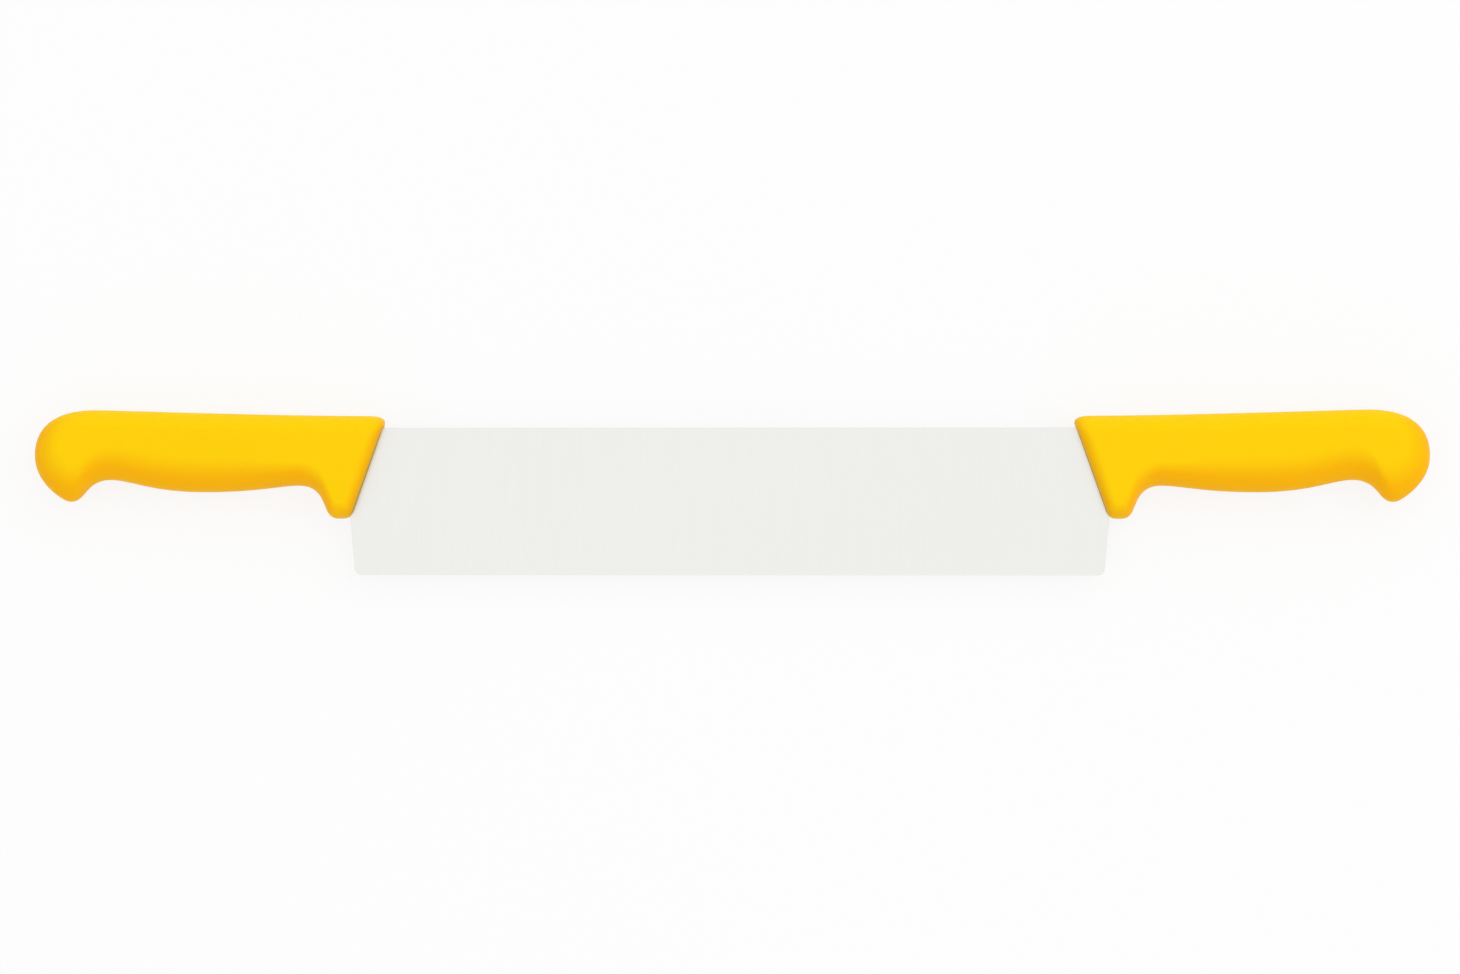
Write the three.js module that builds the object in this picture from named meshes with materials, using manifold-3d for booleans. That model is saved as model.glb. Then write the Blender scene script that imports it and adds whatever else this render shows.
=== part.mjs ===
// Double-handled cheese knife: a long taper-ground steel blade with a tang at each end,
// and a plastic handle moulded round each tang. Millimetres, +Z up. The knife lies on its side:
// X runs along the edge, +Y points from the edge to the spine, Z is across the blade.
import * as THREE from "three";
import { mergeVertices } from "three/addons/utils/BufferGeometryUtils.js";
import Module from "manifold-3d";

const wasm = await Module();
wasm.setup();

// Blade
const EDGE_LENGTH = 300; // cutting edge, from corner to corner
const BLADE_HEIGHT = 59; // spine to edge
const SPINE_THICKNESS = 2.2;
const BEVEL_THICKNESS = 0.6; // where the taper ends and the sharpened bevel starts
const APEX_THICKNESS = 0.1; // the keen edge itself
const BEVEL_HEIGHT = 1.6;
const SPINE_EASING = 0.4; // rounding of the spine's two long corners
const HEEL_LEAN = THREE.MathUtils.degToRad(5); // the blade's ends lean outwards from edge to tang
const HEEL_SETBACK = 3; // rounding of the edge's two corners

// Tangs, cut from the same sheet as the blade
const TANG_DROP = 3; // spine down to the tang's top
const TANG_HEIGHT = 13;
const TANG_ROOT_SETBACK = 4; // rounding between the blade's end and the tang
const SPINE_COVER = 8; // length of the spine that runs on inside the handle
const TANG_END_WALL = 36; // solid plastic between the tang's tip and the pommel's end
const KEY_HOLE_RADIUS = 3.5; // holes that the plastic flows through
const KEY_PITCH = 27;
const KEY_MARGIN = 11; // the outermost hole's centre to the tang's tip
const FIT_GAP = 0.3; // between the tang and the plastic, all round

// Handle outline, seen square on to the blade. Depths and rises are measured from the spine.
const HANDLE_LENGTH = 140.5; // front face to pommel, along the spine's line
const HANDLE_THICKNESS = 21;
const FRONT_LEAN = THREE.MathUtils.degToRad(19.7); // the front face slopes back down to the guard
const GRIP_RISE = 4.8; // the handle's back, at the front
const FRONT_TOP_SETBACK = 8; // rounding of the front's top corner, along the back
const FRONT_TOP_DROP = 4; // and down the front face
const GRIP_DEPTH = 23.2; // the grip's underside, next to the guard
const GUARD_DROP = 13.2; // the guard's tip, below the grip's underside
const GUARD_TIP_WIDTH = 8;
const GUARD_TIP_ROUNDING = 0.4; // share of the tip's width that each corner takes
const GUARD_REAR_LEAN = THREE.MathUtils.degToRad(23.5);
const GUARD_HOLLOW_SETBACK = 6.9;
const BELLY_SWELL = 2.6; // the grip's underside at its middle, below where it meets the guard
const POMMEL_HOLLOW_DEPTH = 20.9; // the grip's underside, next to the pommel's hook
const POMMEL_HOLLOW_SETBACK = 5.8;
const HOOK_DROP = 10.3; // the hook's corner before it is rounded, below the grip's underside
const HOOK_FROM_END = 15.8;
const HOOK_SETBACK = 5.1;
const HOOK_INNER_LEAN = THREE.MathUtils.degToRad(41);
const HOOK_BACK_LEAN = THREE.MathUtils.degToRad(60);
const POMMEL_RISE = 7.2;
const POMMEL_CREST_FROM_END = 24.2;
const POMMEL_END_DEPTH = 11.2; // the rearmost point

// Rounding of the handle's edges: how far in the flat side starts from each stretch of the outline
const FRONT_ROUND = 5; // at the spine, narrowing to the next value at the guard's foot
const FRONT_FOOT_ROUND = 3.4;
const FRONT_ROUND_DEPTH = 4; // below this depth from the flat side the front face is square
const TIP_ROUND = 7;
const GUARD_REAR_ROUND = 5.5;
const GUARD_HOLLOW_ROUND = 10;
const BELLY_ROUND = 14.5;
const POMMEL_HOLLOW_ROUND = 14.5;
const HOOK_ROUND = 8;
const HOOK_BACK_ROUND = 16;
const POMMEL_ROUND = 12;
const BACK_ROUND = 7;

// Shares that shape the long curves
const OVAL = 0.65; // control arm of a quarter round; 0.552 is an ellipse
const BELLY_ARM = 0.57;
const HOLLOW_ARM = 0.21;
const BACK_REAR_ARM = 0.07;
const BACK_FRONT_ARM = 0.33;
const HOOK_BACK_ARM = 0.26;
const POMMEL_LOWER_ARM = 0.49;
const WALL_SHARE = 0.48; // most of a wall that the rounding of one corner takes

// Facets
const CURVE_STEPS = 8; // along each curve of an outline
const RINGS = 6; // from the parting line to the flat side
const HOLE_STEPS = 24;
const MERGE_DISTANCE = 1e-4; // points nearer than this are one
const CUT_SPARE = 1; // stock that stands proud of a cut

const STEEL = { color: 0xefefeb, roughness: 0.35, metalness: 1 };
const PLASTIC = { color: 0xffd103, roughness: 0.45, metalness: 0 };

// A closed geometry as a solid for joining and cutting.
function solidOf(geometry) {
  const bare = geometry.clone();
  bare.deleteAttribute("normal");
  bare.deleteAttribute("uv");
  const merged = mergeVertices(bare, MERGE_DISTANCE);
  return new wasm.Manifold(
    new wasm.Mesh({
      numProp: 3,
      vertProperties: merged.attributes.position.array,
      triVerts: new Uint32Array(merged.index.array),
    }),
  );
}

function geometryOf(solid) {
  const mesh = solid.getMesh();
  const geometry = new THREE.BufferGeometry();
  geometry.setAttribute("position", new THREE.BufferAttribute(mesh.vertProperties, 3));
  geometry.setIndex(new THREE.BufferAttribute(mesh.triVerts, 1));
  geometry.computeVertexNormals();
  return geometry;
}

const point = (x, y) => new THREE.Vector2(x, y);

// The point on the way from one point towards another, a distance along.
function towards(from, to, distance) {
  return to.clone().sub(from).setLength(distance).add(from);
}

// A corner's setback, limited to its share of the wall between two corners.
function limited(setback, from, to) {
  return Math.min(setback, from.distanceTo(to) * WALL_SHARE);
}

// Where the line through a in direction u meets the line through b in direction v.
function meet(a, u, b, v) {
  const along = b.clone().sub(a).cross(v) / u.cross(v);
  return u.clone().multiplyScalar(along).add(a);
}

// The blade's end line: its x at a height below the spine, moved out by grow.
function heelX(y, grow = 0) {
  return EDGE_LENGTH / 2 + (y + BLADE_HEIGHT) * Math.tan(HEEL_LEAN) + grow / Math.cos(HEEL_LEAN);
}

// The handle's front face meets the blade's end at the foot of the guard.
const guardDepth = GRIP_DEPTH + GUARD_DROP;
const handleStart = heelX(-guardDepth) - guardDepth * Math.tan(FRONT_LEAN);
const pommelEnd = handleStart + HANDLE_LENGTH;
const tangTop = -TANG_DROP;
const tangBottom = -TANG_DROP - TANG_HEIGHT;
const tangMiddle = (tangTop + tangBottom) / 2;
const tangTip = pommelEnd - TANG_END_WALL;
const spineEnd = handleStart + SPINE_COVER;

// The x of each key hole, from the tang's tip inwards as far as the tang's root.
function keyHoles() {
  const first = tangTip - KEY_MARGIN;
  const room = first - heelX(tangMiddle) - KEY_HOLE_RADIUS;
  const count = 1 + Math.max(0, Math.floor(room / KEY_PITCH));
  return Array.from({ length: count }, (_, i) => first - i * KEY_PITCH);
}

// The sheet's outline with both tangs and their holes. A positive grow gives the room it needs.
function sheetOutline(grow) {
  const bottom = -BLADE_HEIGHT - grow;
  const low = tangBottom - grow;
  const high = tangTop + grow;
  const corner = point(heelX(bottom, grow), bottom);
  const root = point(heelX(low, grow), low);
  const tipRadius = TANG_HEIGHT / 2 + grow;
  const half = new THREE.Path();
  const afterCorner = towards(corner, root, HEEL_SETBACK);
  const beforeRoot = towards(root, corner, TANG_ROOT_SETBACK);
  half.moveTo(corner.x - HEEL_SETBACK, bottom);
  half.quadraticCurveTo(corner.x, corner.y, afterCorner.x, afterCorner.y);
  half.lineTo(beforeRoot.x, beforeRoot.y);
  half.quadraticCurveTo(root.x, root.y, root.x + TANG_ROOT_SETBACK, low);
  half.lineTo(tangTip - TANG_HEIGHT / 2, low);
  half.absarc(tangTip - TANG_HEIGHT / 2, tangMiddle, tipRadius, -Math.PI / 2, Math.PI / 2);
  half.lineTo(spineEnd + grow, high);
  half.lineTo(spineEnd + grow, grow);
  const right = half.getPoints(CURVE_STEPS);
  const left = right.map((p) => point(-p.x, p.y)).reverse();
  const outline = new THREE.Shape([...right, ...left]);
  for (const x of keyHoles().flatMap((hole) => [hole, -hole])) {
    const hole = new THREE.Path();
    hole.absarc(x, tangMiddle, KEY_HOLE_RADIUS - grow, 0, 2 * Math.PI);
    outline.holes.push(new THREE.Path(hole.getSpacedPoints(HOLE_STEPS)));
  }
  return outline;
}

// The sheet's section: eased at the spine, tapered to the bevel, and ground to the edge.
function sheetSection(grow) {
  const spine = SPINE_THICKNESS / 2 + grow;
  const shoulder = BEVEL_THICKNESS / 2 + grow;
  const apex = APEX_THICKNESS / 2 + grow;
  const half = new THREE.Path();
  half.moveTo(-BLADE_HEIGHT - grow, apex);
  half.lineTo(-BLADE_HEIGHT + BEVEL_HEIGHT, shoulder);
  half.lineTo(grow - SPINE_EASING, spine);
  half.quadraticCurveTo(grow, spine, grow, spine - SPINE_EASING);
  const upper = half.getPoints(CURVE_STEPS);
  const lower = upper.map((p) => point(p.x, -p.y)).reverse();
  return new THREE.Shape([...upper, ...lower]);
}

// The blade with its tangs: the sheet's outline cut from a bar of its section.
function bladeSolid(grow) {
  const span = 2 * pommelEnd;
  const thick = SPINE_THICKNESS + 2 * (grow + CUT_SPARE);
  const sheet = new THREE.ExtrudeGeometry(sheetOutline(grow), { depth: thick, bevelEnabled: false });
  sheet.translate(0, 0, -thick / 2);
  const bar = new THREE.ExtrudeGeometry(sheetSection(grow), { depth: span, bevelEnabled: false });
  bar.translate(0, 0, -span / 2);
  // The section is drawn in (y, z) and pushed along its own third axis, which becomes x.
  const turn = new THREE.Matrix4().makeBasis(
    new THREE.Vector3(0, 1, 0),
    new THREE.Vector3(0, 0, 1),
    new THREE.Vector3(1, 0, 0),
  );
  bar.applyMatrix4(turn);
  return solidOf(sheet).intersect(solidOf(bar));
}

// How far in an elliptical edge has come at a share of the half thickness. The edge reaches down
// to a depth below the flat side, or else to the parting line.
function inset(width, share, depth = HANDLE_THICKNESS / 2) {
  const turned = Math.max(0, 1 - ((1 - share) * HANDLE_THICKNESS) / 2 / depth);
  return width * (1 - Math.sqrt(1 - turned * turned));
}

// The handle's outline at a share of its half thickness: 0 is the parting line, 1 the flat side.
function handleOutline(share) {
  const round = (width) => inset(width, share);
  const frontRound = (width) => inset(width, share, FRONT_ROUND_DEPTH) / Math.cos(FRONT_LEAN);
  const back = GRIP_RISE - round(BACK_ROUND);
  const foot = -guardDepth + round(TIP_ROUND);
  const guardHollow = -GRIP_DEPTH + round(GUARD_HOLLOW_ROUND);
  const belly = -GRIP_DEPTH - BELLY_SWELL + round(BELLY_ROUND);
  const pommelHollow = -POMMEL_HOLLOW_DEPTH + round(POMMEL_HOLLOW_ROUND);

  const level = point(1, 0);
  const front = point(frontRound(FRONT_ROUND), 0);
  const footIn = frontRound(FRONT_FOOT_ROUND);
  const frontLow = point(guardDepth * Math.tan(FRONT_LEAN) + footIn, -guardDepth);
  const frontDown = frontLow.clone().sub(front).normalize();
  const frontTop = meet(front, frontDown, point(0, back), level);
  const frontFoot = meet(front, frontDown, point(0, foot), level);

  const rearUp = point(Math.sin(GUARD_REAR_LEAN), Math.cos(GUARD_REAR_LEAN));
  const tipRear = guardDepth * Math.tan(FRONT_LEAN) + GUARD_TIP_WIDTH;
  const rear = point(tipRear - round(GUARD_REAR_ROUND) / Math.cos(GUARD_REAR_LEAN), -guardDepth);
  const rearFoot = meet(rear, rearUp, point(0, foot), level);
  const rearTop = meet(rear, rearUp, point(0, guardHollow), level);
  const footRounding = (rearFoot.x - frontFoot.x) * GUARD_TIP_ROUNDING;
  const guardSetback = limited(GUARD_HOLLOW_SETBACK, rearTop, rearFoot);

  const innerDown = point(Math.sin(HOOK_INNER_LEAN), -Math.cos(HOOK_INNER_LEAN));
  const backUp = point(Math.sin(HOOK_BACK_LEAN), Math.cos(HOOK_BACK_LEAN));
  const hookTip = point(HANDLE_LENGTH - HOOK_FROM_END, -POMMEL_HOLLOW_DEPTH - HOOK_DROP);
  const inner = point(-innerDown.y, innerDown.x).multiplyScalar(round(HOOK_ROUND)).add(hookTip);
  const outer = point(-backUp.y, backUp.x).multiplyScalar(round(HOOK_BACK_ROUND)).add(hookTip);
  const hook = meet(inner, innerDown, outer, backUp);
  const hookRoot = meet(inner, innerDown, point(0, pommelHollow), level);
  const hookSetback = limited(HOOK_SETBACK, hook, hookRoot);
  const pommelSetback = limited(POMMEL_HOLLOW_SETBACK, hook, hookRoot);

  const endLift = (round(HOOK_BACK_ROUND) - round(BACK_ROUND)) / 2;
  const rearmost = point(HANDLE_LENGTH - round(POMMEL_ROUND), endLift - POMMEL_END_DEPTH);
  const crest = point(HANDLE_LENGTH - POMMEL_CREST_FROM_END, POMMEL_RISE - round(BACK_ROUND));
  const hollowStart = rearTop.x + guardSetback;
  const hollowEnd = hookRoot.x - pommelSetback;
  const middle = (hollowStart + hollowEnd) / 2;

  const outline = new THREE.Path();
  const corner = (at, to) => outline.quadraticCurveTo(at.x, at.y, to.x, to.y);
  const lineTo = (to) => outline.lineTo(to.x, to.y);
  // A curve that leaves and arrives level, with its arms as shares of its run.
  const swell = (from, to, startArm, endArm) => {
    const run = to.x - from.x;
    outline.bezierCurveTo(from.x + run * startArm, from.y, to.x - run * endArm, to.y, to.x, to.y);
  };

  // Down the front face and round the guard's tip
  const start = towards(frontTop, frontFoot, FRONT_TOP_DROP);
  outline.moveTo(start.x, start.y);
  lineTo(towards(frontFoot, frontTop, footRounding));
  corner(frontFoot, point(frontFoot.x + footRounding, foot));
  lineTo(point(rearFoot.x - footRounding, foot));
  corner(rearFoot, towards(rearFoot, rearTop, footRounding));
  // Up the back of the guard and along the finger side
  lineTo(towards(rearTop, rearFoot, guardSetback));
  corner(rearTop, point(hollowStart, guardHollow));
  swell(point(hollowStart, guardHollow), point(middle, belly), HOLLOW_ARM, BELLY_ARM);
  swell(point(middle, belly), point(hollowEnd, pommelHollow), BELLY_ARM, HOLLOW_ARM);
  corner(hookRoot, towards(hookRoot, hook, pommelSetback));
  // Round the hook and the pommel
  lineTo(towards(hook, hookRoot, hookSetback));
  const hookBack = backUp.clone().multiplyScalar(hookSetback).add(hook);
  corner(hook, hookBack);
  const lowerArm = (rearmost.y - hookBack.y) * POMMEL_LOWER_ARM;
  const backReach = hookBack.distanceTo(rearmost) * HOOK_BACK_ARM;
  const backArm = backUp.clone().multiplyScalar(backReach).add(hookBack);
  outline.bezierCurveTo(backArm.x, backArm.y, rearmost.x, rearmost.y - lowerArm, rearmost.x, rearmost.y);
  const crestArm = (rearmost.x - crest.x) * OVAL;
  const endArm = (crest.y - rearmost.y) * OVAL;
  outline.bezierCurveTo(
    rearmost.x, rearmost.y + endArm, crest.x + crestArm, crest.y, crest.x, crest.y,
  );
  // Back along the top to the front face
  const backEnd = point(frontTop.x + FRONT_TOP_SETBACK, back);
  swell(crest, backEnd, BACK_REAR_ARM, BACK_FRONT_ARM);
  corner(frontTop, start);
  return outline.getPoints(CURVE_STEPS).slice(0, -1);
}

// The handle's outer form: outlines stacked from one flat side to the other.
function handleGeometry() {
  const positions = [];
  const faces = [];
  const rings = [];
  for (let ring = -RINGS; ring <= RINGS; ring++) {
    const height = Math.sin((ring / RINGS) * (Math.PI / 2));
    rings.push({ height, outline: handleOutline(Math.abs(height)) });
  }
  for (const { height, outline } of rings) {
    for (const p of outline) {
      positions.push(handleStart + p.x, p.y, (height * HANDLE_THICKNESS) / 2);
    }
  }
  const around = rings[0].outline.length;
  for (let ring = 0; ring < rings.length - 1; ring++) {
    for (let i = 0; i < around; i++) {
      const next = (i + 1) % around;
      const a = ring * around + i;
      const b = ring * around + next;
      faces.push(a, b, b + around, a, b + around, a + around);
    }
  }
  const last = (rings.length - 1) * around;
  for (const [a, b, c] of THREE.ShapeUtils.triangulateShape(rings[0].outline, [])) {
    faces.push(last + a, last + b, last + c, c, b, a);
  }
  const geometry = new THREE.BufferGeometry();
  geometry.setAttribute("position", new THREE.Float32BufferAttribute(positions, 3));
  geometry.setIndex(faces);
  return geometry;
}

// One named piece in its own finish.
function piece(name, geometry, finish) {
  const mesh = new THREE.Mesh(geometry, new THREE.MeshStandardMaterial(finish));
  mesh.name = name;
  return mesh;
}

// Both handles are one moulding: the left one is the right one turned end for end.
const moulding = geometryOf(solidOf(handleGeometry()).subtract(bladeSolid(FIT_GAP)));
const blade = piece("blade", geometryOf(bladeSolid(0)), STEEL);
const handleRight = piece("handle_right", moulding, PLASTIC);
const handleLeft = piece("handle_left", moulding, PLASTIC);
handleLeft.rotation.y = Math.PI;

// The knife rests on the handles' flat sides, with the origin under the middle of its box.
const lying = new THREE.Group();
lying.add(blade, handleRight, handleLeft);
lying.position.set(0, (BLADE_HEIGHT - POMMEL_RISE) / 2, HANDLE_THICKNESS / 2);

const knife = new THREE.Group();
knife.add(lying);

export default knife;
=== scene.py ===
import math
import bmesh
import bpy
from mathutils import Matrix, Vector


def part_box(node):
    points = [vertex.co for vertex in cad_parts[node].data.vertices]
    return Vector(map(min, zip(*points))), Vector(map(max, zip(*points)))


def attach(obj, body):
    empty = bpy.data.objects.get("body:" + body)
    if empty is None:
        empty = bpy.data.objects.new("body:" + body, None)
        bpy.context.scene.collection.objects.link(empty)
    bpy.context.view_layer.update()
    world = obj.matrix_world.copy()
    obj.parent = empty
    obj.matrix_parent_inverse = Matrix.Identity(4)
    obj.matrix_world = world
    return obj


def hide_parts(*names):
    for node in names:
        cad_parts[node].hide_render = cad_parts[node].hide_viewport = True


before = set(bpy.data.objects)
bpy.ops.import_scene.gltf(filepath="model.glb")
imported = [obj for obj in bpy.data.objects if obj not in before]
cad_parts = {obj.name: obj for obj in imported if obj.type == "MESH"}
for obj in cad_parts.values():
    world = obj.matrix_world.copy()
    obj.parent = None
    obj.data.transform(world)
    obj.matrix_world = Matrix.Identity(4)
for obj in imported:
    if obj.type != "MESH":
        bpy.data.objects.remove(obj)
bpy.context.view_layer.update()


# Blade: one strip of stainless steel with a tang at each end, stamped to its outline, ground on
# both faces so that it thins from the spine to the edge, and sharpened along the edge.
# The handles are moulded round its ends, so only the middle is bare.
blade_low, blade_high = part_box("blade")
SPINE_Y = blade_high.y
MIDDLE_Z = (blade_low.z + blade_high.z) / 2
BLADE_HEIGHT = blade_high.y - blade_low.y
SPINE_THICKNESS = blade_high.z - blade_low.z
TANG_TIP = blade_high.x
EDGE_LENGTH = 0.300  # cutting edge, from corner to corner
HEEL_LEAN = math.radians(5)  # the ends lean outwards from the edge to the tang
HEEL_SETBACK = 0.003  # rounding of the edge's two corners
BEVEL_HEIGHT = 0.0016
BEVEL_THICKNESS = 0.0006  # where the taper ends and the sharpened bevel starts
APEX_THICKNESS = 0.0001  # the keen edge itself
GUARD_DEPTH = SPINE_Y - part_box("handle_right")[0].y  # spine down to the tips of the handles' guards
FRONT_LEAN = math.radians(19.7)  # the handles' front faces slope back down to the guards
SPINE_COVER = 0.008  # length of the spine that runs on inside a handle
TANG_DROP = 0.003  # spine down to the tang's top
TANG_HEIGHT = 0.013
TANG_ROOT_SETBACK = 0.004  # rounding between the blade's end and the tang
KEY_HOLE_RADIUS = 0.0035  # holes that the plastic flows through
KEY_PITCH = 0.027
KEY_MARGIN = 0.011  # the outermost hole's centre to the tang's tip
KEY_COUNT = 3  # in each tang
EDGE_BREAK = 0.00015  # rounding that tumbling leaves on the stamped edges
EDGE_BREAK_SHARE = 0.4  # most of the half thickness that this rounding takes
EDGE_BREAK_STEPS = 4
CURVE_STEPS = 16
HAIR = 1e-7  # heights nearer than this are one

STEEL_PALE = (0.90, 0.90, 0.871, 1)
STEEL_DEEP = (0.84, 0.84, 0.811, 1)
FINE_BREAKS = 45  # per metre, along the fine grinding lines
BROAD_LINES = 260  # per metre, across the blade
BROAD_BREAKS = 9
BROAD_SHARE = 0.12  # how much the broad lines count in the tone, beside the fine ones
STEEL_CLOUDS = 16  # per metre
CLOUD_RANGE = (0.3, 0.7)  # most of a cloud's values lie between these


# Points along a curve with the given control points, without its first one.
def curve(controls, steps=CURVE_STEPS):
    points = []
    for step in range(1, steps + 1):
        row = list(controls)
        while len(row) > 1:
            row = [a.lerp(b, step / steps) for a, b in zip(row, row[1:])]
        points.append(row[0])
    return points


# The point on the way from one point towards another, a distance along.
def towards(start, end, distance):
    return start + (end - start).normalized() * distance


# Points along an arc, with both of its ends.
def arc(middle, radius, start, end, steps):
    turns = [start + (end - start) * step / steps for step in range(steps + 1)]
    return [middle + Vector((math.cos(a), math.sin(a))) * radius for a in turns]


# The blade's end line: its x at a height below the spine, moved out by grow.
def heel_x(v, grow):
    return EDGE_LENGTH / 2 + (v + BLADE_HEIGHT) * math.tan(HEEL_LEAN) + grow / math.cos(HEEL_LEAN)


# A handle's front face meets the blade's end at the guard's tip, and the spine is bare up to where
# that face crosses it.
bare_reach = heel_x(-GUARD_DEPTH, 0) - GUARD_DEPTH * math.tan(FRONT_LEAN)
spine_reach = bare_reach + SPINE_COVER


# The sheet's outline and its key holes, measured from the spine's middle. A positive grow gives the
# room that the sheet needs in the plastic.
def sheet_outline(grow):
    bottom = -BLADE_HEIGHT - grow
    low = -TANG_DROP - TANG_HEIGHT - grow
    high = -TANG_DROP + grow
    middle = -TANG_DROP - TANG_HEIGHT / 2
    corner = Vector((heel_x(bottom, grow), bottom))
    root = Vector((heel_x(low, grow), low))
    right = [Vector((corner.x - HEEL_SETBACK, bottom))]
    right += curve([right[-1], corner, towards(corner, root, HEEL_SETBACK)])
    right.append(towards(root, corner, TANG_ROOT_SETBACK))
    right += curve([right[-1], root, Vector((root.x + TANG_ROOT_SETBACK, low))])
    tip = Vector((TANG_TIP - TANG_HEIGHT / 2, middle))
    right += arc(tip, TANG_HEIGHT / 2 + grow, -math.pi / 2, math.pi / 2, CURVE_STEPS)
    right += [Vector((spine_reach + grow, high)), Vector((spine_reach + grow, grow))]
    outline = right + [Vector((-p.x, p.y)) for p in reversed(right)]
    holes = []
    for key in range(KEY_COUNT):
        for side in (1, -1):
            place = Vector((side * (TANG_TIP - KEY_MARGIN - key * KEY_PITCH), middle))
            holes.append(arc(place, KEY_HOLE_RADIUS - grow, 2 * math.pi, 0, 2 * CURVE_STEPS)[:-1])
    return outline, holes


# Half of the sheet's thickness at a height below the spine: its long taper, then the bevel.
def taper(v, grow):
    share = -v / (BLADE_HEIGHT - BEVEL_HEIGHT)
    return (SPINE_THICKNESS + (BEVEL_THICKNESS - SPINE_THICKNESS) * share) / 2 + grow


def bevel(v, grow):
    share = (v + BLADE_HEIGHT) / BEVEL_HEIGHT
    return (APEX_THICKNESS + (BEVEL_THICKNESS - APEX_THICKNESS) * share) / 2 + grow


# Outward direction at each point of an outline, scaled to keep an offset's walls parallel.
def outward(points):
    found = []
    for before, here, after in zip(points[-1:] + points[:-1], points, points[1:] + points[:1]):
        a = (here - before).normalized()
        b = (after - here).normalized()
        a, b = Vector((a.y, -a.x)), Vector((b.y, -b.x))
        found.append((a + b) / (1 + a.dot(b)))
    return found


# A finished mesh, ready for an object.
def kept_mesh(name, mesh):
    data = bpy.data.meshes.new(name)
    mesh.to_mesh(data)
    mesh.free()
    return data


# The sheet as a closed mesh: two filled faces, and rows of faces round each outline between them.
def sheet_mesh(name, grow, edge_break):
    mesh = bmesh.new()
    rows = []
    for row in range(EDGE_BREAK_STEPS + 1):
        turn = row / EDGE_BREAK_STEPS * math.pi / 2
        rows.append((1 - math.sin(turn), 1 - math.cos(turn), 1))
    rows += [(inward, drop, -1) for inward, drop, _ in reversed(rows)]
    outline, holes = sheet_outline(grow)
    fills = {1: [], -1: []}
    for loop in [outline, *holes]:
        rings = []
        for inward, drop, side in rows:
            ring = []
            for p, out in zip(loop, outward(loop)):
                radius = min(edge_break, EDGE_BREAK_SHARE * taper(p.y, grow))
                q = p - out * radius * inward
                z = side * (taper(p.y, grow) - radius * drop)
                ring.append(mesh.verts.new((q.x, SPINE_Y + q.y, MIDDLE_Z + z)))
            rings.append(ring)
        for upper, lower in zip(rings, rings[1:]):
            for i in range(len(loop)):
                mesh.faces.new((upper[i - 1], lower[i - 1], lower[i], upper[i]))
        for side, ring in ((1, rings[0]), (-1, rings[-1])):
            fills[side] += [mesh.edges.get((ring[i - 1], ring[i])) for i in range(len(loop))]
    for side, edges in fills.items():
        bmesh.ops.triangle_fill(mesh, use_beauty=True, edges=edges, normal=(0, 0, side))
    # The bevel starts at one straight line, and below it the sheet is ground thinner.
    line = -BLADE_HEIGHT + BEVEL_HEIGHT
    parts = [*mesh.verts, *mesh.edges, *mesh.faces]
    bmesh.ops.bisect_plane(mesh, geom=parts, plane_co=(0, SPINE_Y + line, 0), plane_no=(0, 1, 0))
    for vert in mesh.verts:
        v = vert.co.y - SPINE_Y
        if v < line:
            vert.co.z = MIDDLE_Z + (vert.co.z - MIDDLE_Z) * bevel(v, grow) / taper(v, grow)
    for edge in mesh.edges:
        edge.smooth = any(abs(vert.co.y - SPINE_Y - line) > HAIR for vert in edge.verts)
    for face in mesh.faces:
        face.smooth = True
        face.material_index = 1 if face.calc_center_median().y - SPINE_Y < line else 0
    bmesh.ops.recalc_face_normals(mesh, faces=mesh.faces)
    return kept_mesh(name, mesh)


# Give a node's sockets plain values or other nodes' outputs.
def feed(tree, receiver, sockets):
    for key, value in sockets.items():
        if isinstance(value, bpy.types.NodeSocket):
            tree.links.new(value, receiver.inputs[key])
        else:
            receiver.inputs[key].default_value = value


# A new node with its settings, and with what its sockets take.
def node(tree, kind, sockets=None, **settings):
    made = tree.nodes.new(kind)
    for key, value in settings.items():
        setattr(made, key, value)
    feed(tree, made, sockets or {})
    return made


# The outcome of a step of arithmetic.
def maths(tree, operation, *values):
    return node(tree, "ShaderNodeMath", dict(enumerate(values)), operation=operation).outputs["Value"]


# A value that goes from one level to another while the given one goes from start to end.
def graded(tree, value, start, end, first=0, last=1, soft=False):
    sockets = {"Value": value, "From Min": start, "From Max": end, "To Min": first, "To Max": last}
    way = "SMOOTHSTEP" if soft else "LINEAR"
    return node(tree, "ShaderNodeMapRange", sockets, interpolation_type=way).outputs["Result"]


# A share of b in a. The kind is RGBA for colours and FLOAT for values.
def mixed(tree, kind, a, b, share, **settings):
    sockets = {"A": a, "B": b, "Factor": share}
    return node(tree, "ShaderNodeMix", sockets, data_type=kind, **settings).outputs["Result"]


# The three parts of a vector.
def parted(tree, vector):
    return node(tree, "ShaderNodeSeparateXYZ", {"Vector": vector}).outputs


# An effect that several finishes share, with named inputs and one named output.
def effect(name, inputs, output):
    group = bpy.data.node_groups.new(name, "ShaderNodeTree")
    for label in inputs:
        group.interface.new_socket(label, in_out="INPUT", socket_type="NodeSocketFloat")
    group.interface.new_socket(output, in_out="OUTPUT", socket_type="NodeSocketFloat")
    return group


# A shared effect, placed in a finish with its own values.
def placed(tree, group, values):
    return node(tree, "ShaderNodeGroup", values, node_tree=group).outputs[0]


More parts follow.
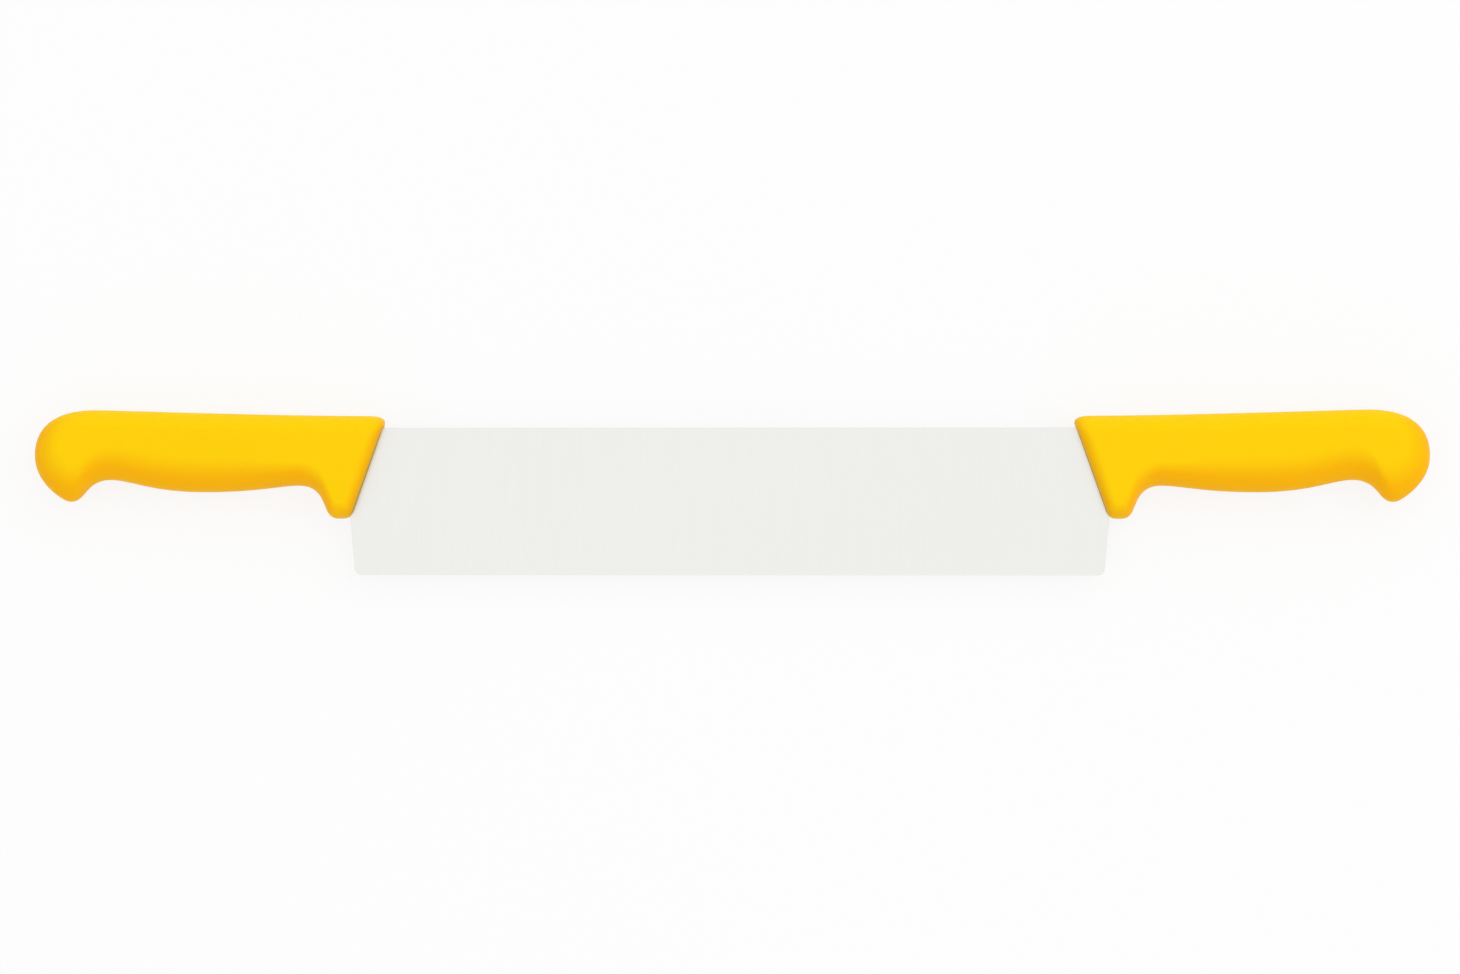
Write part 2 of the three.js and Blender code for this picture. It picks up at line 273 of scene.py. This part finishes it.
# Fine parallel scratches of a grinding belt, which run from the spine to the edge.
grinding_lines = effect("grinding_lines", ["Lines Across", "Breaks Along"], "Lines")
tree = grinding_lines
given = node(tree, "NodeGroupInput").outputs
spot = node(tree, "ShaderNodeTexCoord").outputs["Object"]
counts = {"X": given["Lines Across"], "Y": given["Breaks Along"], "Z": given["Breaks Along"]}
stretch = node(tree, "ShaderNodeCombineXYZ", counts).outputs["Vector"]
scaled = node(tree, "ShaderNodeVectorMath", {0: spot, 1: stretch}, operation="MULTIPLY").outputs["Vector"]
streaks = node(tree, "ShaderNodeTexNoise", {"Vector": scaled, "Scale": 1, "Detail": 3, "Roughness": 0.6})
node(tree, "NodeGroupOutput", {"Lines": streaks.outputs["Fac"]})

# Broad soft unevenness that every made surface has.
soft_cloud = effect("soft_cloud", ["Clouds Per Metre"], "Cloud")
tree = soft_cloud
given = node(tree, "NodeGroupInput").outputs
spot = node(tree, "ShaderNodeTexCoord").outputs["Object"]
billows = {"Vector": spot, "Scale": given["Clouds Per Metre"], "Detail": 2, "Roughness": 0.5}
node(tree, "NodeGroupOutput", {"Cloud": node(tree, "ShaderNodeTexNoise", billows).outputs["Fac"]})


# Steel as a belt leaves it: fine lines in the height, fine and broad ones in the tone, and clouds in
# the gloss.
def steel(name, fine_lines, gloss, line_depth):
    material = bpy.data.materials.new(name)
    material.use_nodes = True
    tree = material.node_tree
    fine = placed(tree, grinding_lines, {"Lines Across": fine_lines, "Breaks Along": FINE_BREAKS})
    broad = placed(tree, grinding_lines, {"Lines Across": BROAD_LINES, "Breaks Along": BROAD_BREAKS})
    cloud = placed(tree, soft_cloud, {"Clouds Per Metre": STEEL_CLOUDS})
    lines = mixed(tree, "FLOAT", fine, broad, BROAD_SHARE)
    bump = node(tree, "ShaderNodeBump", {"Strength": 1, "Distance": line_depth, "Height": fine})
    finish = {
        "Base Color": mixed(tree, "RGBA", STEEL_DEEP, STEEL_PALE, lines),
        "Metallic": 1,
        "Roughness": graded(tree, cloud, *CLOUD_RANGE, *gloss),
        "Normal": bump.outputs["Normal"],
    }
    feed(tree, tree.nodes["Principled BSDF"], finish)
    return material


ground_steel = steel("ground_steel", fine_lines=5200, gloss=(0.27, 0.31), line_depth=3e-6)
honed_steel = steel("honed_steel", fine_lines=9000, gloss=(0.20, 0.24), line_depth=1e-6)

blade = bpy.data.objects.new("blade_ground", sheet_mesh("blade_ground", 0, EDGE_BREAK))
blade.data.materials.append(ground_steel)
blade.data.materials.append(honed_steel)
bpy.context.collection.objects.link(blade)
blade.modifiers.new("true_faces", "WEIGHTED_NORMAL").keep_sharp = True
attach(blade, "root")
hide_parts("blade")


# Handles: one yellow polypropylene moulding, used twice and turned end for end. It is moulded round
# the tang in a two-part mould, so a fine parting line runs round it in the blade's plane.
# The plastic that fills the tang's holes keys it to the steel.
handle_low, handle_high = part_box("handle_right")
HANDLE_THICKNESS = handle_high.z - handle_low.z
HANDLE_LENGTH = handle_high.x - bare_reach  # front face to pommel, along the spine's line
POMMEL_RISE = handle_high.y - SPINE_Y
FIT_GAP = 0.0003  # between the tang and the plastic, all round
GRIP_RISE = 0.0048  # the handle's back, at the front
FRONT_TOP_SETBACK = 0.008  # rounding of the front's top corner, along the back
FRONT_TOP_DROP = 0.004  # and down the front face
GRIP_DEPTH = 0.0232  # the grip's underside, next to the guard
GUARD_TIP_WIDTH = 0.008
GUARD_TIP_ROUNDING = 0.4  # share of the tip's width that each corner takes
GUARD_REAR_LEAN = math.radians(23.5)
GUARD_HOLLOW_SETBACK = 0.0069
BELLY_SWELL = 0.0026  # the grip's underside at its middle, below where it meets the guard
POMMEL_HOLLOW_DEPTH = 0.0209  # the grip's underside, next to the pommel's hook
POMMEL_HOLLOW_SETBACK = 0.0058
HOOK_DROP = 0.0103  # the hook's corner before it is rounded, below the grip's underside
HOOK_FROM_END = 0.0158
HOOK_SETBACK = 0.0051
HOOK_INNER_LEAN = math.radians(41)
HOOK_BACK_LEAN = math.radians(60)
POMMEL_CREST_FROM_END = 0.0242
POMMEL_END_DEPTH = 0.0112  # the rearmost point, below the spine
FRONT_ROUND = 0.0050  # how far in the flat side starts from each stretch of the outline
FRONT_FOOT_ROUND = 0.0034
FRONT_ROUND_DEPTH = 0.004  # the front face's rounding reaches this far down from the flat side
FRONT_DRAFT = math.radians(4.5)  # the face leans back from the parting line, so that the mould opens
FRONT_PROUD = 0.00025  # how far it stands in front of the solid's face at the parting line
TIP_ROUND = 0.0070
GUARD_REAR_ROUND = 0.0055
GUARD_HOLLOW_ROUND = 0.010
BELLY_ROUND = 0.0145
POMMEL_HOLLOW_ROUND = 0.0145
HOOK_ROUND = 0.008
HOOK_BACK_ROUND = 0.016
POMMEL_ROUND = 0.012
BACK_ROUND = 0.007
OVAL = 0.65  # control arms of the long curves, as shares of their runs
BELLY_ARM = 0.57
HOLLOW_ARM = 0.21
BACK_REAR_ARM = 0.07
BACK_FRONT_ARM = 0.33
HOOK_BACK_ARM = 0.26
POMMEL_LOWER_ARM = 0.49
WALL_SHARE = 0.48  # most of a wall that the rounding of one corner takes
WALL_STEPS = 2  # along a short straight wall
RINGS = 14  # from the parting line to the flat side
PARTING_WIDTH = 0.00024
PARTING_DEPTH = 0.00005
GATE_RADIUS = 0.0021  # the sunk spot on the pommel's end where the plastic came in
GATE_PIP_RADIUS = 0.0007
GATE_DEPTH = 0.00045
SHARP_ANGLE = math.radians(40)

# The plastic's own yellow, and a deeper yellow painted on the turned edges as shade
PLASTIC_YELLOW = (1.0, 0.628, 0.0010, 1)  # the flat sides and the back
PAINTED_SHADE_YELLOW = (1.0, 0.480, 0.0005, 1)  # the edges round the fingers and at both ends
CLOUD_SHADE = (0.965, 0.965, 0.965, 1)
CLEAR = (1, 1, 1, 1)
PLASTIC_CLOUDS = 30  # per metre
# The turned edges are smooth and take the painted shade; these weigh how far each way of turning counts
SHADE_AND_SMOOTH_TURN = 0.55  # a surface turned this far from the flat side is smooth, against 1 for a right angle
POMMEL_SHARE = 0.62  # how much a turn to the pommel's end counts, against one to the fingers
FRONT_SHARE = 0.50  # and a turn to the front
GUARD_SHARE = 0.42  # and one to the fingers on the guard itself
GUARD_REACH = 0.022  # the back of the guard's tip, from the handle's front
HOLLOW_REACH = 0.032  # and the hollow behind it
# Painted shade in the crease where the front face meets the steel
CREASE_SHADE_OLIVE = (0.42, 0.28, 0.002, 1)  # the dull band at the foot of the front face, next to the steel
CREASE_SHADE_RISE = 0.0048  # it fades out this far up the face
CREASE_SHADE_END = 0.0035  # over this length at the spine and at the guard's tip
CREASE_SHADE_FACING = (0.60, 0.92)  # and between these where corners turn away, against 1 for facing the blade
TEXTURED_ROUGHNESS = 0.52
SMOOTH_ROUGHNESS = 0.40
GRAIN_ROUGHNESS = 0.12  # how much the texture's grain adds
GRAIN_PER_METRE = 2600
GRAIN_DEPTH = 8e-6
SMOOTH_GRAIN = 0.3  # share of that depth on the smooth edges
PLASTIC_SHINE = 0.06
GLOW_SHARE = 0.3  # of the light, which spreads under the skin
GLOW_REACH = (0.0030, 0.0012, 0.0002)  # how far its red, green and blue travel there


# Where the line through a in direction u meets the line through b in direction v.
def meet(a, u, b, v):
    return a + u * ((b - a).cross(v) / u.cross(v))


def at_height(height):
    return Vector((0, height))


# How far in an elliptical edge has come at a share of the half thickness. The edge reaches down
# to a depth below the flat side, or else to the parting line.
def inset(width, share, depth=HANDLE_THICKNESS / 2):
    turned = max(0, 1 - (1 - share) * HANDLE_THICKNESS / 2 / depth)
    return width * (1 - math.sqrt(1 - turned * turned))


# A curve that leaves and arrives level, with its arms as shares of its run.
def swell(start, end, start_arm, end_arm):
    run = end.x - start.x
    leave = Vector((start.x + run * start_arm, start.y))
    arrive = Vector((end.x - run * end_arm, end.y))
    return curve([start, leave, arrive, end], 2 * CURVE_STEPS)


# The handle's outline at a share of its half thickness: 0 is the parting line, 1 the flat side.
def handle_outline(share):
    back = GRIP_RISE - inset(BACK_ROUND, share)
    foot = -GUARD_DEPTH + inset(TIP_ROUND, share)
    guard_hollow = -GRIP_DEPTH + inset(GUARD_HOLLOW_ROUND, share)
    belly_height = -GRIP_DEPTH - BELLY_SWELL + inset(BELLY_ROUND, share)
    pommel_hollow = -POMMEL_HOLLOW_DEPTH + inset(POMMEL_HOLLOW_ROUND, share)
    level = Vector((1, 0))

    drawn_in = share * HANDLE_THICKNESS / 2 * math.tan(FRONT_DRAFT) - FRONT_PROUD
    front_in = (drawn_in + inset(FRONT_ROUND, share, FRONT_ROUND_DEPTH)) / math.cos(FRONT_LEAN)
    foot_in = (drawn_in + inset(FRONT_FOOT_ROUND, share, FRONT_ROUND_DEPTH)) / math.cos(FRONT_LEAN)
    front = Vector((front_in, 0))
    front_low = Vector((GUARD_DEPTH * math.tan(FRONT_LEAN) + foot_in, -GUARD_DEPTH))
    front_down = (front_low - front).normalized()
    front_top = meet(front, front_down, at_height(back), level)
    front_foot = meet(front, front_down, at_height(foot), level)

    rear_up = Vector((math.sin(GUARD_REAR_LEAN), math.cos(GUARD_REAR_LEAN)))
    tip_rear = GUARD_DEPTH * math.tan(FRONT_LEAN) + GUARD_TIP_WIDTH
    rear_in = inset(GUARD_REAR_ROUND, share) / math.cos(GUARD_REAR_LEAN)
    rear = Vector((tip_rear - rear_in, -GUARD_DEPTH))
    rear_foot = meet(rear, rear_up, at_height(foot), level)
    rear_top = meet(rear, rear_up, at_height(guard_hollow), level)
    foot_rounding = (rear_foot.x - front_foot.x) * GUARD_TIP_ROUNDING
    guard_setback = min(GUARD_HOLLOW_SETBACK, (rear_top - rear_foot).length * WALL_SHARE)

    inner_down = Vector((math.sin(HOOK_INNER_LEAN), -math.cos(HOOK_INNER_LEAN)))
    back_up = Vector((math.sin(HOOK_BACK_LEAN), math.cos(HOOK_BACK_LEAN)))
    hook_tip = Vector((HANDLE_LENGTH - HOOK_FROM_END, -POMMEL_HOLLOW_DEPTH - HOOK_DROP))
    inner = hook_tip + Vector((-inner_down.y, inner_down.x)) * inset(HOOK_ROUND, share)
    outer = hook_tip + Vector((-back_up.y, back_up.x)) * inset(HOOK_BACK_ROUND, share)
    hook = meet(inner, inner_down, outer, back_up)
    hook_root = meet(inner, inner_down, at_height(pommel_hollow), level)
    hook_wall = (hook - hook_root).length * WALL_SHARE
    hook_setback = min(HOOK_SETBACK, hook_wall)
    pommel_setback = min(POMMEL_HOLLOW_SETBACK, hook_wall)

    end_lift = (inset(HOOK_BACK_ROUND, share) - inset(BACK_ROUND, share)) / 2
    rearmost = Vector((HANDLE_LENGTH - inset(POMMEL_ROUND, share), end_lift - POMMEL_END_DEPTH))
    crest = Vector((HANDLE_LENGTH - POMMEL_CREST_FROM_END, POMMEL_RISE - inset(BACK_ROUND, share)))
    hollow_start = Vector((rear_top.x + guard_setback, guard_hollow))
    hollow_end = Vector((hook_root.x - pommel_setback, pommel_hollow))
    belly = Vector(((hollow_start.x + hollow_end.x) / 2, belly_height))

    # Down the front face, round the guard's tip and up behind it
    path = [towards(front_top, front_foot, FRONT_TOP_DROP)]
    start = path[0]
    path += curve([start, towards(front_foot, front_top, foot_rounding)])
    path += curve([path[-1], front_foot, Vector((front_foot.x + foot_rounding, foot))])
    path += curve([path[-1], Vector((rear_foot.x - foot_rounding, foot))], WALL_STEPS)
    path += curve([path[-1], rear_foot, towards(rear_foot, rear_top, foot_rounding)])
    path += curve([path[-1], towards(rear_top, rear_foot, guard_setback)], WALL_STEPS)
    path += curve([path[-1], rear_top, hollow_start])
    # Along the finger side, round the hook and the pommel
    path += swell(hollow_start, belly, HOLLOW_ARM, BELLY_ARM)
    path += swell(belly, hollow_end, BELLY_ARM, HOLLOW_ARM)
    path += curve([path[-1], hook_root, towards(hook_root, hook, pommel_setback)])
    path += curve([path[-1], towards(hook, hook_root, hook_setback)], WALL_STEPS)
    hook_back = hook + back_up * hook_setback
    path += curve([path[-1], hook, hook_back])
    leave = hook_back + back_up * (hook_back - rearmost).length * HOOK_BACK_ARM
    arrive = rearmost - Vector((0, (rearmost.y - hook_back.y) * POMMEL_LOWER_ARM))
    path += curve([hook_back, leave, arrive, rearmost])
    leave = rearmost + Vector((0, (crest.y - rearmost.y) * OVAL))
    arrive = crest + Vector(((rearmost.x - crest.x) * OVAL, 0))
    path += curve([rearmost, leave, arrive, crest], 2 * CURVE_STEPS)
    # Back along the top to the front face
    path += swell(crest, Vector((front_top.x + FRONT_TOP_SETBACK, back)), BACK_REAR_ARM, BACK_FRONT_ARM)
    path += curve([path[-1], front_top, start])
    return path[:-1]


# The moulding's outer form: outlines stacked from one flat side to the other, with the parting line.
def handle_form(name):
    half = HANDLE_THICKNESS / 2
    heights = [math.sin(ring / RINGS * math.pi / 2) * half for ring in range(1, RINGS + 1)]
    heights = [PARTING_WIDTH / 2, *heights]
    levels = [-z for z in reversed(heights)] + [0, *heights]
    mesh = bmesh.new()
    rings = []
    for z in levels:
        outline = handle_outline(abs(z) / half)
        if z == 0:
            outline = [p - out * PARTING_DEPTH for p, out in zip(outline, outward(outline))]
        rings.append(
            [mesh.verts.new((bare_reach + p.x, SPINE_Y + p.y, MIDDLE_Z + z)) for p in outline]
        )
    for lower, upper in zip(rings, rings[1:]):
        for i in range(len(lower)):
            mesh.faces.new((lower[i - 1], lower[i], upper[i], upper[i - 1]))
    mesh.faces.new(reversed(rings[0]))
    mesh.faces.new(rings[-1])
    return kept_mesh(name, mesh)


# A ring-shaped cutter that sinks the gate's spot and leaves its pip.
def gate_cutter(name):
    mesh = bmesh.new()
    middle_y = SPINE_Y - POMMEL_END_DEPTH
    ends = []
    for x in (handle_high.x - GATE_DEPTH, handle_high.x + GATE_DEPTH):
        for radius in (GATE_PIP_RADIUS, GATE_RADIUS):
            circle = arc(Vector((middle_y, MIDDLE_Z)), radius, 0, 2 * math.pi, 2 * CURVE_STEPS)[:-1]
            ends.append([mesh.verts.new((x, p.x, p.y)) for p in circle])
    inner, outer, inner_end, outer_end = ends
    for i in range(len(inner)):
        mesh.faces.new((inner[i - 1], inner[i], outer[i], outer[i - 1]))
        mesh.faces.new((outer[i - 1], outer[i], outer_end[i], outer_end[i - 1]))
        mesh.faces.new((outer_end[i - 1], outer_end[i], inner_end[i], inner_end[i - 1]))
        mesh.faces.new((inner_end[i - 1], inner_end[i], inner[i], inner[i - 1]))
    bmesh.ops.recalc_face_normals(mesh, faces=mesh.faces)
    return kept_mesh(name, mesh)


# A mesh with the given shapes cut out of it.
def cut(data, cutters):
    stock = bpy.data.objects.new("stock", data)
    bpy.context.collection.objects.link(stock)
    tools = []
    for shape in cutters:
        tool = bpy.data.objects.new("tool", shape)
        bpy.context.collection.objects.link(tool)
        boolean = stock.modifiers.new("cut", "BOOLEAN")
        boolean.operation = "DIFFERENCE"
        boolean.solver = "EXACT"
        boolean.object = tool
        tools.append(tool)
    bpy.context.view_layer.update()
    shaped = stock.evaluated_get(bpy.context.evaluated_depsgraph_get())
    result = bpy.data.meshes.new_from_object(shaped)
    for used in (stock, *tools):
        bpy.data.objects.remove(used)
    return result


# Satin polypropylene: light spreads a little way under its skin. The mould's fine spark-eroded
# texture dulls its gloss on the flat sides and is worn smooth on the edges. The edges that turn down
# and to the ends are also painted a deeper yellow, as painted shade where they turn from the light.
yellow_plastic = bpy.data.materials.new("yellow_plastic")
yellow_plastic.use_nodes = True
tree = yellow_plastic.node_tree
place = node(tree, "ShaderNodeTexCoord").outputs
facing = parted(tree, place["Normal"])
spot = parted(tree, place["Object"])
# How far the surface turns from the flat side, to the fingers and to either end of the handle.
# This makes those edges smooth and also paints shade on them.
from_front = maths(tree, "SUBTRACT", maths(tree, "ABSOLUTE", spot["X"]), bare_reach)
down_turn_weight = graded(tree, from_front, GUARD_REACH, HOLLOW_REACH, GUARD_SHARE, 1)
downward = maths(tree, "MAXIMUM", maths(tree, "MULTIPLY", facing["Y"], -1), 0)
rearward = maths(tree, "MULTIPLY", facing["X"], maths(tree, "SIGN", spot["X"]))
pommel = maths(tree, "MULTIPLY", rearward, POMMEL_SHARE)
front = maths(tree, "MULTIPLY", rearward, -FRONT_SHARE)
turns = {"X": maths(tree, "MULTIPLY", downward, down_turn_weight), "Y": maths(tree, "MAXIMUM", pommel, front)}
turn = node(tree, "ShaderNodeCombineXYZ", turns).outputs["Vector"]
turned = node(tree, "ShaderNodeVectorMath", {0: turn}, operation="LENGTH").outputs["Value"]
smooth = graded(tree, turned, 0, SHADE_AND_SMOOTH_TURN, soft=True)
# Its tone, with soft clouds, painted shade on the edges that turn down and to the ends, and painted
# shade at the foot of the front face, in the crease next to the steel
cloud = placed(tree, soft_cloud, {"Clouds Per Metre": PLASTIC_CLOUDS})
shade = mixed(tree, "RGBA", CLOUD_SHADE, CLEAR, cloud)
# Painted shade: the turned edges take the deeper yellow
yellow = mixed(tree, "RGBA", PLASTIC_YELLOW, PAINTED_SHADE_YELLOW, smooth)
tone = mixed(tree, "RGBA", yellow, shade, 1, blend_type="MULTIPLY")
# Painted shade at the foot of the front face, next to the steel, fading up the face and towards the spine
# and the guard's tip
risen = maths(tree, "ABSOLUTE", maths(tree, "SUBTRACT", spot["Z"], MIDDLE_Z))
low = graded(tree, risen, SPINE_THICKNESS / 2, SPINE_THICKNESS / 2 + CREASE_SHADE_RISE, 1, 0, soft=True)
tip_y = SPINE_Y - GUARD_DEPTH
below_spine = graded(tree, spot["Y"], SPINE_Y - CREASE_SHADE_END, SPINE_Y, 1, 0)
above_tip = graded(tree, spot["Y"], tip_y, tip_y + CREASE_SHADE_END, soft=True)
facing_blade = graded(tree, maths(tree, "MULTIPLY", rearward, -1), *CREASE_SHADE_FACING)
on_guard = graded(tree, from_front, GUARD_REACH, HOLLOW_REACH, 1, 0)
frontward = maths(tree, "MULTIPLY", facing_blade, on_guard)
along = maths(tree, "MULTIPLY", below_spine, above_tip)
crease_shade = maths(tree, "MULTIPLY", maths(tree, "MULTIPLY", frontward, along), low)
# Its grain, which is deeper where it isn't worn
grains = {"Vector": place["Object"], "Scale": GRAIN_PER_METRE, "Detail": 2, "Roughness": 0.5}
grain = node(tree, "ShaderNodeTexNoise", grains).outputs["Fac"]
gloss = graded(tree, smooth, 0, 1, TEXTURED_ROUGHNESS, SMOOTH_ROUGHNESS)
height = maths(tree, "MULTIPLY", grain, graded(tree, smooth, 0, 1, 1, SMOOTH_GRAIN))
bump = node(tree, "ShaderNodeBump", {"Strength": 1, "Distance": GRAIN_DEPTH, "Height": height})
finish = {
    "Base Color": mixed(tree, "RGBA", tone, CREASE_SHADE_OLIVE, crease_shade),
    "Roughness": maths(tree, "MULTIPLY_ADD", grain, GRAIN_ROUGHNESS, gloss),
    "Normal": bump.outputs["Normal"],
    "Specular IOR Level": PLASTIC_SHINE,
    "Subsurface Weight": GLOW_SHARE,
    "Subsurface Radius": GLOW_REACH,
    "Subsurface Scale": 1,
}
feed(tree, tree.nodes["Principled BSDF"], finish)

moulding = cut(
    handle_form("handle_moulding"),
    [sheet_mesh("tang_room", FIT_GAP, 0), gate_cutter("gate_spot")],
)
moulding.materials.clear()
moulding.materials.append(yellow_plastic)
moulding.shade_smooth()
moulding.set_sharp_from_angle(angle=SHARP_ANGLE)
end_for_end = (
    Matrix.Translation((0, 0, MIDDLE_Z))
    @ Matrix.Rotation(math.pi, 4, "Y")
    @ Matrix.Translation((0, 0, -MIDDLE_Z))
)
for side, turning in (("right", Matrix.Identity(4)), ("left", end_for_end)):
    data = moulding.copy()
    data.transform(turning)
    handle = bpy.data.objects.new(f"handle_{side}_moulded", data)
    bpy.context.collection.objects.link(handle)
    handle.modifiers.new("true_faces", "WEIGHTED_NORMAL").keep_sharp = True
    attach(handle, "root")
    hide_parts(f"handle_{side}")


# Table: a plain white board that the knife lies on, seen from straight above.
# It is matt and takes the knife's soft shadow.
TABLE_HALF = 6.0
TABLE_GAP = 0.0001  # keeps the board clear of the handles' flat sides
TABLE_WHITE = (0.90, 0.90, 0.90, 1)
TABLE_GREY = (0.88, 0.88, 0.88, 1)
TABLE_CLOUDS = 3  # per metre
TABLE_ROUGHNESS = 0.9
TABLE_GLOW = 0.82  # how much of the table the camera sees as plain white


# 1 where a thing is seen, straight on or in a mirror or through glass, and 0 where it only sheds light.
def seen(tree):
    path = node(tree, "ShaderNodeLightPath").outputs
    mirrored = maths(tree, "MAXIMUM", path["Is Camera Ray"], path["Is Glossy Ray"])
    return maths(tree, "MAXIMUM", mirrored, path["Is Transmission Ray"])


data = bpy.data.meshes.new("table_board")
corners = [(-1, -1), (1, -1), (1, 1), (-1, 1)]
data.from_pydata([(x * TABLE_HALF, y * TABLE_HALF, -TABLE_GAP) for x, y in corners], [], [(0, 1, 2, 3)])
table = bpy.data.objects.new("table_board", data)
bpy.context.collection.objects.link(table)
table_white = bpy.data.materials.new("table_white")
table_white.use_nodes = True
tree = table_white.node_tree
board = tree.nodes["Principled BSDF"]
cloud = placed(tree, soft_cloud, {"Clouds Per Metre": TABLE_CLOUDS})
tone = mixed(tree, "RGBA", TABLE_GREY, TABLE_WHITE, cloud)
feed(tree, board, {"Base Color": tone, "Roughness": TABLE_ROUGHNESS, "Specular IOR Level": 0})
glow = node(tree, "ShaderNodeEmission", {"Color": (1, 1, 1, 1), "Strength": 1})
share = maths(tree, "MULTIPLY", seen(tree), TABLE_GLOW)
both = {"Fac": share, 1: board.outputs["BSDF"], 2: glow.outputs["Emission"]}
mix = node(tree, "ShaderNodeMixShader", both)
feed(tree, tree.nodes["Material Output"], {"Surface": mix.outputs["Shader"]})
data.materials.append(table_white)


# Studio light: one large soft panel above the knife, to its right and behind its spine, and even light
# from a white room all round. The panel shows in no mirror, so the steel keeps an even tone.
PANEL_WIDTH = 7.0
PANEL_DEPTH = 4.0
PANEL_PLACE = Vector((2.6, 2.5, 3.3))
PANEL_POWER = 66
CEILING_LIGHT = 0.98
WALL_LIGHT = 0.78
ROOM_SHOWN = [(0.0, 1.0), (0.2, 0.66), (0.55, 0.66), (0.88, 1.0)]  # height of the look, and how pale

lamp = bpy.data.lights.new("soft_panel", "AREA")
lamp.shape = "RECTANGLE"
lamp.size = PANEL_WIDTH
lamp.size_y = PANEL_DEPTH
lamp.energy = PANEL_POWER
panel = bpy.data.objects.new("soft_panel", lamp)
panel.location = PANEL_PLACE
panel.rotation_euler = (-PANEL_PLACE).to_track_quat("-Z", "Y").to_euler()
panel.visible_camera = False
panel.visible_glossy = False
bpy.context.collection.objects.link(panel)

room = bpy.data.worlds.new("white_room")
room.use_nodes = True
bpy.context.scene.world = room
tree = room.node_tree
look = parted(tree, node(tree, "ShaderNodeTexCoord").outputs["Generated"])
fill = tree.nodes["Background"]
strength = graded(tree, look["Z"], 0, 1, WALL_LIGHT, CEILING_LIGHT)
feed(tree, fill, {"Color": (1, 1, 1, 1), "Strength": strength})
pale = node(tree, "ShaderNodeValToRGB", {"Fac": look["Z"]})
while len(pale.color_ramp.elements) < len(ROOM_SHOWN):
    pale.color_ramp.elements.new(1)
for stop, (at, grey) in zip(pale.color_ramp.elements, ROOM_SHOWN):
    stop.position = at
    stop.color = (grey, grey, grey, 1)
shown = node(tree, "ShaderNodeBackground", {"Color": pale.outputs["Color"], "Strength": 1})
both = {"Fac": seen(tree), 1: fill.outputs["Background"], 2: shown.outputs["Background"]}
mix = node(tree, "ShaderNodeMixShader", both)
feed(tree, tree.nodes["World Output"], {"Surface": mix.outputs["Shader"]})


# Camera: above the blade and nearly square on to it, with the spine towards the top of the picture.
# It stands a little to the right of the middle, so the right handle looks slightly larger.
PICTURE_WIDTH = 0.5848  # what the frame takes in at the blade
CAMERA_DISTANCE = 1.6
CAMERA_TURN = math.radians(1.8)
SENSOR_WIDTH = 36
AIM_RIGHT = 0.0005  # the picture's middle, from the middle of the spine
AIM_BELOW = 0.0237

lens = bpy.data.cameras.new("camera")
lens.sensor_width = SENSOR_WIDTH
lens.lens = SENSOR_WIDTH * CAMERA_DISTANCE / PICTURE_WIDTH
camera = bpy.data.objects.new("camera", lens)
camera.rotation_euler = (0, CAMERA_TURN, 0)
stand = Matrix.Rotation(CAMERA_TURN, 3, "Y") @ Vector((AIM_RIGHT, -AIM_BELOW, CAMERA_DISTANCE))
camera.location = Vector((0, SPINE_Y, MIDDLE_Z)) + stand
bpy.context.collection.objects.link(camera)
bpy.context.scene.camera = camera
bpy.context.scene.view_settings.view_transform = "Standard"
